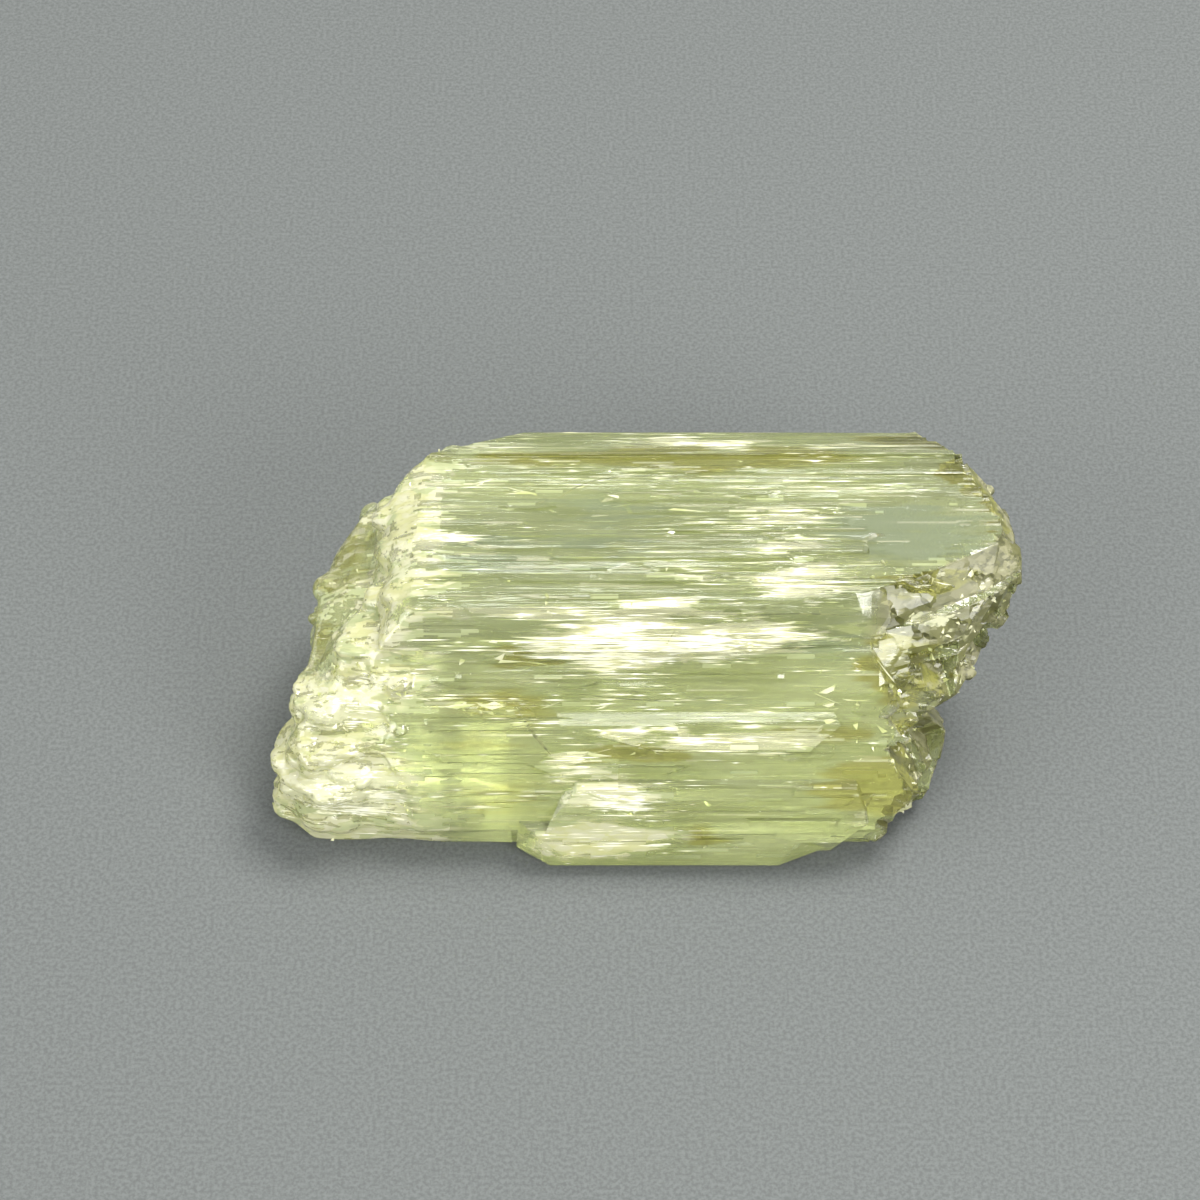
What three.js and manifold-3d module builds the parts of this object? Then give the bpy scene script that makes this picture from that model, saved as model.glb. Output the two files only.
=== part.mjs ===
// Hiddenite crystal: a natural, doubly broken lath of pale green spodumene, in millimetres.
// +X runs along the c axis, which every striation follows. +Z is up, across the broad (100) plate.
// The lower y is, the nearer the sloping prism front. The crystal rests on a flat cleavage at z = 0.
import * as THREE from "three";
import { ConvexGeometry } from "three/addons/geometries/ConvexGeometry.js";
import { mergeVertices } from "three/addons/utils/BufferGeometryUtils.js";
import Module from "manifold-3d";

// Driving dimensions.
const TOP = 8.9; // height of the broad top plate
const SHELF = 7.5; // foot of the top plate, where the next sheet begins
const LEDGE = 6.4; // the olive ledge at the left end
const BACK = 7.35; // furthest prism face
const CREST = 5.25; // back edge of the top plate, where it bevels down to the back
const LIP = -2.0; // front edge of the top plate
const FRONT = -7.0; // foot of the front lath
const LEFT = -13.62; // tip of the rounded left end
const RIGHT = 13.45; // tip of the broken right end

const RIB_RISE = 0.12; // how far the boldest growth ribs stand out
const RIB_ROOT = 0.4; // how deep a rib reaches into the face that it grew on
const RIB_LENGTHS = [3.5, 15];
const RIB_WIDTHS = [0.2, 0.9];
const TOP_RIBS = 30;
const SLOPE_RIBS = 26;
const BACK_RIBS = 18;
const KNOBS = 84; // rounded lumps of the etched left end
const KNOB_REACH = -7.2; // how far along the crystal the lumps come
const KNOB_SIZES = [0.3, 0.72]; // radii of the lumps
const KNOB_SINK = 0.62; // how much of its own radius a lump is sunk
const KNOB_PROUD = [0.12, 0.26]; // how far a lump stands out besides
const CHIPS = 40; // flakes broken from the right end
const CHIP_REACH = 6.5; // how far back from the right end a flake may be missing
const CHIP_SIZES = [0.7, 2.2];
const CHIP_BITES = [0.08, 0.42]; // how deep the missing flakes went
const CHIP_TILT = 0.75; // how far a break leans away from the surface
const OUTSIDE = 30; // well clear of the crystal on any side

const wasm = await Module();
wasm.setup();

// A small repeatable random source, so that every build gives the same crystal.
function randomFrom(seed) {
  let state = seed;
  return (low = 0, high = 1) => {
    state = (Math.imul(state, 1664525) + 1013904223) >>> 0;
    return low + (high - low) * (state / 4294967296);
  };
}

function solidOf(geometry) {
  const bare = geometry.index ? geometry.toNonIndexed() : geometry.clone();
  bare.deleteAttribute("normal");
  bare.deleteAttribute("uv");
  const merged = mergeVertices(bare, 1e-4);
  return new wasm.Manifold(
    new wasm.Mesh({
      numProp: 3,
      vertProperties: merged.attributes.position.array,
      triVerts: new Uint32Array(merged.index.array),
    }),
  );
}

function geometryOf(solid) {
  const mesh = solid.getMesh();
  const count = mesh.vertProperties.length / mesh.numProp;
  const positions = new Float32Array(count * 3);
  for (let i = 0; i < count; i++)
    positions.set(mesh.vertProperties.subarray(i * mesh.numProp, i * mesh.numProp + 3), i * 3);
  return new THREE.BufferGeometry()
    .setAttribute("position", new THREE.BufferAttribute(positions, 3))
    .setIndex(new THREE.BufferAttribute(mesh.triVerts, 1));
}

// A flat-sided block around a few corner points.
function block(points) {
  return solidOf(new ConvexGeometry(points.map((p) => new THREE.Vector3(...p))));
}

// One level of a block: plan corners [x, y] at a height.
const ring = (z, corners) => corners.map(([x, y]) => [x, y, z]);

// A lath: every long edge lies along the c axis, given as [y, z, left end, right end].
const lath = (edges) => block(edges.flatMap(([y, z, left, right]) => [[left, y, z], [right, y, z]]));

// The sheets and laths that grew together, from the top plate down.
function growthBlocks() {
  const topPlate = block([
    ...ring(TOP, [
      [-8.2, CREST], [11.5, CREST - 0.1], [11.9, 3.9], [12.9, 1.8], [12.5, 1.05], [11.6, 0.5],
      [9.2, -0.75], [7.3, -1.3], [3.2, LIP], [-8.5, LIP],
    ]),
    ...ring(TOP - 0.45, [[-8.7, 4.95], [-9.3, 3.6], [-9.2, 1.0], [-9.4, -1.7]]),
    ...ring(TOP - 0.85, [[12.4, 4.5], [13.4, 2.3], [13.35, 1.4]]),
    ...ring(SHELF, [
      [-9.1, CREST - 0.3], [-9.8, 3.3], [-9.7, LIP - 0.85], [3.4, LIP - 0.85], [7.9, LIP - 0.25],
      [9.9, -1.2], [12.2, -0.1], [RIGHT, 0.9], [RIGHT, 1.7], [12.3, CREST],
    ]),
  ]);
  const backBevel = lath([
    [CREST, TOP + 0.1, -8.2, 11.5],
    [7.2, 8.05, -4.6, 9.9],
    [BACK, 6.0, -5.2, 10.3],
    [5.0, 6.0, -9.0, 11.9],
  ]);
  const backStep = lath([
    [4.55, TOP + 0.05, -6.6, 11.2],
    [4.35, TOP + 0.04, -6.2, 11.6],
    [4.3, TOP - 0.5, -6.2, 11.6],
    [5.3, TOP - 0.5, -6.9, 11.2],
    [5.3, TOP, -6.9, 11.2],
  ]);
  const upperSheet = block([
    ...ring(SHELF + 0.1, [
      [RIGHT, 1.5], [13.3, 0.6], [12.3, -0.4], [9.8, -1.6], [7.4, -2.2], [-9.6, -2.55],
      [-9.8, 3.2], [-9.0, 5.3], [-5.2, BACK - 0.1], [10.2, BACK - 0.1], [12.2, 4.8],
    ]),
    ...ring(5.8, [
      [13.2, 0.1], [12.0, -1.0], [9.8, -2.8], [7.4, -3.75], [-10.3, -3.9], [-10.5, 3.0], [-9.2, 5.9],
      [-6.0, BACK - 0.1], [10.5, BACK - 0.1], [12.7, 4.0], [13.3, 1.5],
    ]),
  ]);
  // The lobe that reaches further left at the front corner of the plate.
  const leftLobe = block([
    ...ring(SHELF - 0.2, [[-9.6, 0.3], [-10.4, -0.7], [-10.5, -2.1], [-8, -2.6], [-8, 0.3]]),
    ...ring(LEDGE + 0.2, [[-10.0, 0.4], [-11.4, -1.4], [-11.3, -3.0], [-8, -3.2], [-8, 0.4]]),
    ...ring(LEDGE - 0.8, [[-12.3, -2.7], [-11.9, -3.6], [-8, -4.0], [-8, 0.4]]),
  ]);
  const middleSheet = block([
    ...ring(6.15, [[12.3, -0.35], [11.2, -1.7], [9.2, -3.0]]),
    ...ring(5.2, [[12.4, -0.6], [11.9, -1.7], [9.6, -3.9]]),
    ...ring(3.9, [[12.2, 2.5], [11.6, -0.9], [10.9, -2.3], [9.9, -4.2], [-9.0, 3.0], [-9.0, -3.0]]),
  ]);
  const lowerBody = block([
    ...ring(4.6, [[11.9, 4.5], [11.4, -0.8], [10.6, -2.4], [9.5, -4.3], [-8.0, -4.4], [-8.0, 4.5]]),
    ...ring(2.6, [[11.4, 4.0], [10.5, -2.9], [10.6, -3.9], [9.9, -5.2], [-8.0, -5.5]]),
    ...ring(0.9, [[10.6, 4.0], [10.2, -4.6], [9.4, -5.5], [8.2, -6.2], [-8.0, -5.85]]),
    ...ring(0, [[9.9, 3.5], [9.6, -4.4], [8.3, -5.6], [-9.0, -5.5], [-9.0, 3.5]]),
  ]);
  // The prism front, in the slopes that its stacked faces add up to.
  const frontSlope = lath([
    [-2.6, SHELF - 0.15, -10.2, 7.8],
    [-4.15, 5.7, -9.6, 9.0],
    [-5.45, 4.05, -9.2, 9.7],
    [-6.05, 2.6, -8.8, 9.2],
    [-6.2, 1.4, -8.4, 8.6],
    [-5.7, 0, -7.6, 8.0],
    [0, 0, -9.0, 8.0],
    [0, SHELF - 0.15, -10.0, 8.0],
  ]);
  const frontSheet = lath([
    [-4.55, 5.4, -3.2, 6.8],
    [-5.2, 4.72, 0.2, 5.7],
    [-5.05, 4.6, 0.2, 5.7],
    [-4.0, 4.5, -3.2, 6.8],
    [-3.6, 6.1, -3.6, 6.2],
  ]);
  const lowSheet = lath([
    [-5.95, 3.45, -2.6, 7.4],
    [-6.55, 2.3, -3.6, 7.9],
    [-6.75, 1.35, -3.9, 6.9],
    [-6.1, 0, -3.2, 6.6],
    [-4.0, 0, -3.2, 7.2],
    [-5.0, 4.0, -2.6, 7.4],
  ]);
  const frontLath = lath([
    [-6.7, 1.75, -4.1, 4.4],
    [FRONT, 0.95, -3.2, 4.9],
    [-6.95, 0.25, -3.6, 4.7],
    [-6.6, 0, -3.5, 4.4],
    [-5.2, 0, -4.5, 6.4],
    [-6.2, 1.9, -4.7, 6.3],
    [-6.3, 0.5, -4.85, 6.5],
  ]);
  const backBody = lath([
    [BACK, 6.4, -6.0, 10.4],
    [BACK - 0.15, 2.2, -7.4, 10.2],
    [6.7, 0.5, -7.2, 9.9],
    [5.9, 0, -7.0, 9.4],
    [3.3, 0, -10.0, 10.3],
    [3.3, 6.4, -10.2, 12.3],
    [0, 0, -10.3, 9.9],
    [0, 6.4, -9.0, 12.0],
  ]);
  const leftLedge = block([
    ...ring(LEDGE + 0.6, [[-9.8, 4.8], [-10.5, 4.1], [-10.7, 2.2], [-10.9, 0.2], [-8, -1]]),
    ...ring(LEDGE, [[-10.3, 4.75], [-10.9, 3.9], [-11.5, 2.7], [-11.95, 1.1], [-12.05, -0.6]]),
    ...ring(LEDGE - 1.2, [[-10.2, 5.3], [-11.1, 4.1], [-11.8, 2.7], [-12.15, 0.9], [-12.4, -2.6]]),
    ...ring(1.4, [[-8.8, 6.4], [-11.5, 3.6], [-12.1, 0.8], [-12.6, -2.4], [-5, 6.9]]),
    ...ring(0, [[-8.0, 5.6], [-10.9, 3.0], [-11.6, 0.0], [-12.0, -2.8], [-5, 6.0], [-5, -3]]),
  ]);
  const leftThumb = block([
    ...ring(5.8, [[-12.3, -2.3], [-11.4, -3.8], [-6.0, -4.1]]),
    ...ring(4.7, [[-12.8, -2.9], [-12.4, -4.5], [-6.0, -4.95]]),
    ...ring(3.2, [[LEFT, -3.7], [-13.2, -4.8], [-12.1, -5.6], [-6.0, -5.85]]),
    ...ring(1.5, [[-13.4, -3.2], [-13.15, -5.0], [-12.4, -5.85], [-5.0, -6.2]]),
    ...ring(0.5, [[-12.95, -4.8], [-12.15, -5.8], [-5.0, -6.1]]),
    ...ring(0, [[-12.2, -4.2], [-11.6, -5.3], [-5.0, -5.7], [-5, 0], [-11.9, -2.0]]),
  ]);
  return [
    topPlate, backBevel, backStep, upperSheet, middleSheet, lowerBody, frontSlope, frontSheet,
    lowSheet, frontLath, backBody, leftLobe, leftLedge, leftThumb,
  ];
}

const fuse = (solids) => wasm.Manifold.union(solids);

// Where a straight line first meets the crystal, and which way the surface faces there.
function surfaceFinder(solid) {
  const mesh = new THREE.Mesh(geometryOf(solid), new THREE.MeshBasicMaterial());
  const ray = new THREE.Raycaster();
  return (from, towards) => {
    ray.set(new THREE.Vector3(...from), new THREE.Vector3(...towards).normalize());
    const [hit] = ray.intersectObject(mesh);
    return hit && { point: hit.point, normal: hit.face.normal };
  };
}

// A thin growth rib along the c axis: a low blade on the surface, with slanting ends that thin out.
function rib(foot, normal, length, width, rise, slant) {
  const side = new THREE.Vector3(1, 0, 0).cross(normal).normalize();
  const corner = (along, across, up) => {
    const point = foot.clone().add(new THREE.Vector3(along, 0, 0));
    return point.addScaledVector(side, across).addScaledVector(normal, up);
  };
  const half = width / 2;
  const taper = Math.min(length * 0.15, 1.4);
  const corners = [];
  for (const end of [-1, 1]) {
    const tip = (end * length) / 2;
    corners.push(corner(tip, -half, -RIB_ROOT), corner(tip - end * slant, half, -RIB_ROOT));
    corners.push(corner(tip - end * taper, -half * 0.8, rise));
    corners.push(corner(tip - end * (taper + slant), half * 0.3, rise));
  }
  return solidOf(new ConvexGeometry(corners));
}

const body = fuse(growthBlocks());
const find = surfaceFinder(body);

// Ribs on one side of the crystal, which is looked at from well outside it. A rib grows only where the
// face runs straight from one of its ends to the other.
function ribsOn(random, count, yRange, zRange, inward, reach) {
  const ribs = [];
  for (let i = 0; i < count; i++) {
    const [y, z] = [random(...yRange), random(...zRange)];
    const x = random(-0.8, 0.8) * reach;
    const length = random(...RIB_LENGTHS) * (1 - (0.45 * Math.abs(x)) / reach);
    const width = random(...RIB_WIDTHS);
    const slant = random(0, 0.9);
    const rise = RIB_RISE * random(0.35, 1);
    const look = (along) =>
      find([x + along - inward[0] * OUTSIDE, y - inward[1] * OUTSIDE, z - inward[2] * OUTSIDE], inward);
    const [middle, start, end] = [look(0), look(-length * 0.52), look(length * 0.52)];
    const level = (other) => middle && other && other.normal.dot(middle.normal) > 0.995;
    if (level(start) && level(end)) ribs.push(rib(middle.point, middle.normal, length, width, rise, slant));
  }
  return ribs;
}

// Rounded lumps that etching left on the left end and beside it, drawn out along the c axis.
function knobs(random) {
  const lumps = [];
  while (lumps.length < KNOBS) {
    const x = LEFT + 6.0 * random() * random();
    const [y, z] = [random(-5.7, 6.6), random(0.7, 8.6)];
    const side = random();
    const fromLeft = find([-OUTSIDE, y, z], [1, 0, 0]);
    const fromAbove = find([x, y, OUTSIDE], [0, 0, -1]);
    const fromFront = find([x, -OUTSIDE, z], [0, 1, 0]);
    const hit = side < 0.45 ? fromLeft : side < 0.75 ? fromAbove : fromFront;
    if (!hit || hit.point.x > KNOB_REACH || hit.point.z < 0.6) continue;
    // The ledge stayed smoother than the rest.
    const onLedge = hit.normal.z > 0.3 && hit.point.y > -0.8 && hit.point.z < SHELF - 0.4;
    if (onLedge && random() < 0.8) continue;
    const size = random(...KNOB_SIZES) * (random() < 0.2 ? 1.35 : 1);
    const [long, wide, thick] = [random(0.8, 1.3), random(0.8, 1.1), random(0.55, 0.8)];
    const ball = new THREE.IcosahedronGeometry(size, 1);
    ball.rotateX(random(0, Math.PI)).rotateZ(random(0, Math.PI)).scale(long, wide, thick);
    const middle = hit.point.addScaledVector(hit.normal, random(...KNOB_PROUD) - size * KNOB_SINK);
    const edge = find([-OUTSIDE, middle.y, middle.z], [1, 0, 0]);
    if (edge) middle.x = Math.max(middle.x, edge.point.x + size * long - random(0.22, 0.5));
    ball.translate(middle.x, middle.y, middle.z);
    lumps.push(solidOf(ball));
  }
  return lumps;
}

// Flakes missing from the right end: flat cuts, each tilted a little from the surface that it breaks.
function chips(random) {
  const flakes = [];
  while (flakes.length < CHIPS) {
    const y = random(-6.4, 6.8);
    const z = random(0.6, SHELF - 0.1);
    const hit = find([OUTSIDE, y, z], [-1, 0, 0]);
    if (!hit || hit.point.x < CHIP_REACH) continue;
    const size = random(...CHIP_SIZES);
    const bite = random(...CHIP_BITES);
    const tilt = () => random(-CHIP_TILT, CHIP_TILT);
    const outward = hit.normal.clone().add(new THREE.Vector3(tilt(), tilt(), tilt())).normalize();
    const flake = new THREE.BoxGeometry(size * random(1, 1.8), size, size * 1.6);
    flake.rotateZ(random(0, Math.PI));
    flake.applyQuaternion(new THREE.Quaternion().setFromUnitVectors(new THREE.Vector3(0, 0, 1), outward));
    const middle = hit.point.addScaledVector(outward, size * 0.8 - bite);
    flake.translate(middle.x, middle.y, middle.z);
    flakes.push(solidOf(flake));
  }
  return flakes;
}

function crystalSolid() {
  const ribs = [
    ...ribsOn(randomFrom(11), TOP_RIBS, [LIP + 0.2, CREST - 0.2], [0, 0], [0, 0, -1], 9),
    ...ribsOn(randomFrom(23), SLOPE_RIBS, [0, 0], [1.0, 7.0], [0, 1, 0], 8),
    ...ribsOn(randomFrom(37), BACK_RIBS, [0, 0], [1.0, 7.8], [0, -1, 0], 7),
  ];
  const grown = fuse([body, ...ribs, ...knobs(randomFrom(5))]);
  const broken = grown.subtract(fuse(chips(randomFrom(71))));
  // A flake can cut a crumb loose; only the crystal itself is kept.
  return broken.decompose().reduce((largest, piece) => (piece.volume() > largest.volume() ? piece : largest));
}

const hiddenite = new THREE.MeshStandardMaterial({
  name: "hiddenite",
  color: new THREE.Color(0.66, 0.72, 0.42),
  roughness: 0.18,
  metalness: 0,
  transparent: true,
  opacity: 0.6,
});

const geometry = geometryOf(crystalSolid());
geometry.computeBoundingBox();
const { min, max } = geometry.boundingBox;

const crystal = new THREE.Mesh(geometry, hiddenite);
crystal.name = "crystal";
crystal.position.set(-(min.x + max.x) / 2, -(min.y + max.y) / 2, -min.z);

const part = new THREE.Group();
part.add(crystal);
export default part;
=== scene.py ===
"""Hiddenite crystal: striated, see-through pale green spodumene on a plain floor in soft studio light."""
import math
from collections import namedtuple
from types import SimpleNamespace
import bmesh
import bpy
import numpy as np
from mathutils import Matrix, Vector
from mathutils.bvhtree import BVHTree


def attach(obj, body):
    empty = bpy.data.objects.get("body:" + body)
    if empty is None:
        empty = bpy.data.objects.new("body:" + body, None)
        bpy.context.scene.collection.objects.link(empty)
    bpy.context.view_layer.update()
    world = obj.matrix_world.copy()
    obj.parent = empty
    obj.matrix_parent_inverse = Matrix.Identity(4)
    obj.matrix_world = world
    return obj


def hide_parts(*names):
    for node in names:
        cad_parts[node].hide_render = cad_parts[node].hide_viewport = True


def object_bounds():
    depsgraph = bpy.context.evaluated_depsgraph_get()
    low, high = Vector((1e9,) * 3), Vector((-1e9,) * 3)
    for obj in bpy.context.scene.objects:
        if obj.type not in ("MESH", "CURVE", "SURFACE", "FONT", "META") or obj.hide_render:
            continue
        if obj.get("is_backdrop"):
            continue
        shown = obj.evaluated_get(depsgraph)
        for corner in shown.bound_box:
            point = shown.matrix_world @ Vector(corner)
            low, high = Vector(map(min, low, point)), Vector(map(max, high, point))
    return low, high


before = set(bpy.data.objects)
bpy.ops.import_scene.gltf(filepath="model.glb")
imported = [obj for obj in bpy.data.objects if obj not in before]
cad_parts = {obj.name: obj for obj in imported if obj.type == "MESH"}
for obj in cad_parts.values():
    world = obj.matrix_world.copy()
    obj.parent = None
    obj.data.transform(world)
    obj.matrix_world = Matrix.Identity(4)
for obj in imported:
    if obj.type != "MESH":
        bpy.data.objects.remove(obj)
CAD_LOW, CAD_HIGH = (Vector(corner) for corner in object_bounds())
MM = 0.001
MM_PER_METRE = 1000.0

# ---------- the crystal's measures ----------

# The c axis of the crystal runs along X: its striations, rows and fibres all follow it.
STRIP_WIDTH = 0.125 * MM  # the strips that carry the striations
STRIP_LENGTHS = ((-13.6, -6.0, 0.27), (-6.0, 8.0, 1.0), (8.0, 13.6, 0.3))  # from x, to x and length, in mm
WELD_DISTANCE = 1e-6
CUT_TOLERANCE = 1e-7
FLAT_ANGLE = math.radians(0.3)  # faces that turn less than this are one face
BASE_BAND = 0.02 * MM  # up to this height the base stays flat
FLOOR_GAP = 0.02 * MM

STRIA_DEPTH = 0.022 * MM
LEDGE_DEPTH = 0.06 * MM
ETCH_START = -6.0 * MM  # left of this the surface is more and more etched
ETCH_FULL = -9.6 * MM
ETCH_WANDER = 3.6 * MM
ETCH_FRAY = 1.8 * MM
WOBBLES = ((81, 0.7), (82, 0.4), (83, 0.3))  # noise seed and push in mm, along X, Y and Z
ROUNDING = 0.6
ROUNDING_ROUNDS = 10
LUMP_DEPTH = 0.05 * MM
KNOT_DEPTH = 0.04 * MM
TERRACE_DEPTH = 0.03 * MM

BREAK_START = 7.4 * MM  # right of this, faces that look right are broken
BREAK_FULL = 8.6 * MM
SPLINTER_COUNT = 520
SPLINTER_BOX = ((6.5, -7.2, 0), (13.7, 7.2, 9))  # in mm
SPLINTER_TILT = 0.10
SPLINTER_DEPTHS = (-0.03, 0.05)  # in mm
SPLINTERS_AT_ONCE = 4000  # points handled together, to spare memory

# Sizes of the small pieces, least and most, in mm.
FIBRE_COUNT = 8000
FIBRE_LENGTHS = (0.5, 2.6)
FIBRE_WIDTHS = (0.025, 0.075)
FIBRE_THICKNESS = 0.010 * MM
FLAKE_COUNT = 150
FLAKE_LENGTHS = (0.4, 1.5)
FLAKE_WIDTHS = (0.06, 0.25)
FLAKE_THICKNESS = 0.015 * MM
FLAKE_SINKS = (-0.01, 0.03)
FLAKE_TURN = 0.3
CRUMB_COUNT = 420
CRUMB_SIZES = (0.05, 0.22)
CRACK_STEPS = 30
CRACK_RIDGE = 0.006 * MM
CRACK_DEPTH = 0.01 * MM

# ---------- where the crystal changes ----------

# Each place has its middle and half sizes in mm, and how strongly it shows.
WAXY = (
    ((-9.2, 2.6, 8.8), (2.0, 2.8, 0.8), 0.80),
    ((-8.6, -0.8, 8.3), (3.0, 1.6, 1.2), 0.72),
    ((-10.0, -3.4, 6.2), (3.0, 1.8, 2.0), 0.66),
    ((-11.4, -5.4, 3.4), (3.6, 2.4, 3.2), 0.70),
    ((-2.0, -7.0, 1.6), (3.4, 0.8, 1.4), 0.8),
    ((-1.0, -6.2, 3.2), (2.6, 0.8, 0.9), 0.7),
    ((11.0, -1.6, 7.0), (2.4, 1.0, 0.8), 0.45),
    ((9.8, -5.4, 1.8), (1.6, 1.4, 1.6), 0.6),
)
# White frosted and fibrous patches, and painted highlights: a line along the plate's front edge, a silver
# glint on the front slope and a reflection on the back bevel.
WHITE_AND_GLINT = (
    # Partly a painted highlight line along the plate's front edge.
    ((-3.7, -2.3, 8.75), (2.2, 0.40, 0.3), 1.5),
    ((1.2, -2.15, 8.8), (2.6, 0.5, 0.4), 1.4),
    ((-1.2, -2.8, 7.7), (2.9, 1.1, 1.3), 1.5),
    ((2.8, -2.7, 7.7), (3.2, 0.95, 1.0), 1.4),
    ((5.4, -0.9, 8.9), (1.9, 0.9, 0.4), 1.0),
    ((1.8, -0.8, 9.0), (1.6, 0.6, 0.4), 0.6),
    ((4.8, 1.4, 9.0), (1.7, 1.6, 0.4), 0.62),
    # A painted silver glint along a ledge of the front slope, partly white striae.
    ((-0.2, -4.9, 5.3), (1.3, 0.34, 0.4), 1.4),
    ((2.4, -5.2, 4.9), (2.2, 0.36, 0.4), 1.5),
    ((5.2, -5.1, 5.0), (1.6, 0.32, 0.4), 1.3),
    ((-2.6, -5.6, 4.3), (0.9, 0.7, 0.9), 0.8),
    ((-0.9, -6.4, 3.1), (2.2, 0.35, 0.5), 1.3),
    ((0.4, -6.6, 2.7), (2.0, 0.4, 0.4), 0.65),
    ((-11.4, -4.2, 5.6), (1.8, 0.9, 0.9), 1.5),
    ((-11.0, -5.9, 3.0), (1.9, 0.8, 1.6), 1.2),
    ((-7.9, 0.9, 8.9), (1.4, 0.8, 0.5), 0.9),
    ((-8.6, -0.4, 8.7), (1.2, 0.6, 0.5), 0.8),
    ((-9.6, 4.9, 7.6), (1.0, 1.0, 1.2), 0.6),
    ((10.4, -1.5, 7.5), (2.0, 0.32, 0.35), 1.0),
    # A painted reflection on the back bevel.
    ((2.0, 6.1, 8.5), (3.0, 0.6, 0.6), 1.5),
)
OLIVE_LEDGE = (
    ((-11.0, 2.2, 6.4), (2.3, 3.6, 1.6), 0.52),
    ((-11.9, -1.0, 6.0), (1.2, 2.4, 1.2), 0.52),
)
OLIVE = OLIVE_LEDGE + (
    ((10.0, 6.0, 8.4), (2.0, 0.9, 0.6), 1.5),
    ((11.5, 4.5, 8.8), (0.80, 0.70, 0.6), 1.5),
    ((12.2, 3.6, 8.8), (0.75, 0.75, 0.6), 1.5),
    ((12.8, 2.7, 8.8), (0.70, 0.75, 0.6), 1.5),
    ((13.1, 1.9, 8.8), (0.60, 0.60, 0.6), 1.5),
    ((9.2, -3.0, 6.2), (1.8, 1.4, 1.8), 1.4),
    ((10.4, -0.8, 8.5), (2.6, 0.7, 0.6), 1.3),
    ((9.3, -4.4, 4.3), (1.4, 1.0, 1.0), 1.0),
    ((8.2, -5.9, 3.2), (2.6, 1.1, 1.7), 1.1),
    ((-5.4, -4.6, 5.2), (3.4, 1.8, 2.4), 0.45),
    ((-5.0, -6.0, 2.6), (3.4, 0.9, 2.0), 0.45),
    ((-4.3, -3.1, 7.3), (0.9, 0.5, 0.7), 1.2),
    ((-0.3, -5.4, 4.5), (1.8, 0.5, 0.6), 1.2),
    ((6.8, -4.7, 4.8), (3.0, 0.5, 0.8), 0.8),
    ((-5.0, -4.2, 5.8), (2.4, 0.9, 1.0), 0.6),
    ((1.6, -7.0, 1.8), (1.2, 0.5, 0.8), 0.7),
    ((1.0, 4.9, 9.0), (11.0, 1.0, 0.5), 0.75),
)
CLEAR_WINDOW = (
    ((9.6, 1.4, 8.9), (3.2, 1.9, 0.5), 1.2),
)
BLUISH = CLEAR_WINDOW + (
    ((-1.4, 1.4, 8.9), (2.6, 2.0, 0.5), 0.9),
    ((-5.5, 0.6, 8.9), (2.2, 1.6, 0.5), 0.6),
    ((6.4, -2.9, 7.4), (2.4, 0.8, 0.9), 0.6),
)
CALM = (
    ((9.8, 1.3, 8.9), (3.8, 2.4, 0.6), 1.3),
    ((-11.2, 1.8, 6.4), (2.4, 4.2, 1.8), 1.0),
    ((5.0, -6.5, 2.4), (3.6, 1.0, 2.2), 1.0),
    ((-6.0, -5.0, 4.4), (2.8, 1.2, 1.4), 0.7),
    ((-2.6, 1.7, 8.9), (4.6, 2.2, 0.6), 1.0),
    ((4.0, 6.4, 8.2), (9.0, 1.0, 0.7), 0.7),
)
SLANTING = (
    ((-5.2, -4.0, 5.8), (2.6, 1.8, 2.2), 1.0),
    ((-1.5, -5.0, 4.8), (3.4, 1.0, 1.2), 0.5),
    ((7.4, -3.6, 5.8), (2.0, 1.6, 2.0), 0.8),
    ((0.0, 3.2, 8.9), (8.0, 1.4, 0.4), 0.15),
)
CRUMBLY = (
    ((11.0, -1.6, 6.6), (2.2, 2.2, 2.0), 1.0),
    ((9.4, -4.4, 4.6), (2.4, 1.8, 2.4), 1.0),
    ((8.4, -0.8, 8.9), (2.6, 0.8, 0.4), 0.5),
    ((-10.6, -3.6, 5.4), (2.6, 2.4, 2.6), 0.7),
    ((-8.6, 1.0, 8.8), (1.0, 1.6, 0.6), 0.4),
)

# Dark hairline cracks: start, bend and end, and the width at the middle, in mm.
CRACKS = (
    ((-3.2, 2.9, 8.9), (-2.4, 3.9, 8.9), (-1.0, 4.0, 8.9), 0.045),
    ((-4.3, 2.5, 8.9), (-3.7, 2.9, 8.9), (-3.0, 3.1, 8.9), 0.025),
    ((4.0, 0.9, 8.9), (5.4, 1.0, 8.9), (6.2, 0.4, 8.9), 0.03),
    ((6.1, 0.2, 8.9), (6.8, 0.3, 8.9), (8.0, 0.1, 8.9), 0.03),
    ((3.6, -2.3, 8.6), (5.2, -2.1, 8.6), (7.6, -2.0, 8.2), 0.04),
    ((-4.6, -4.3, 5.8), (-4.1, -4.9, 5.1), (-3.4, -5.4, 4.5), 0.11),
    ((0.6, -2.9, 7.5), (0.8, -2.7, 7.8), (1.0, -2.5, 8.1), 0.03),
    ((-2.6, -3.9, 6.2), (0.2, -4.2, 5.9), (2.4, -4.0, 6.1), 0.03),
)

# ---------- colours, light and camera ----------

PALE_GREEN = (0.75, 0.81, 0.46)
DEEP_GREEN = (0.42, 0.48, 0.17)
# White of the silky patches and striae, also used for painted highlights and glints.
SILK_AND_GLINT = (1.0, 1.0, 0.66)
THREAD = (0.20, 0.22, 0.06)
WAX = (1.0, 0.98, 0.70)
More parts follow.
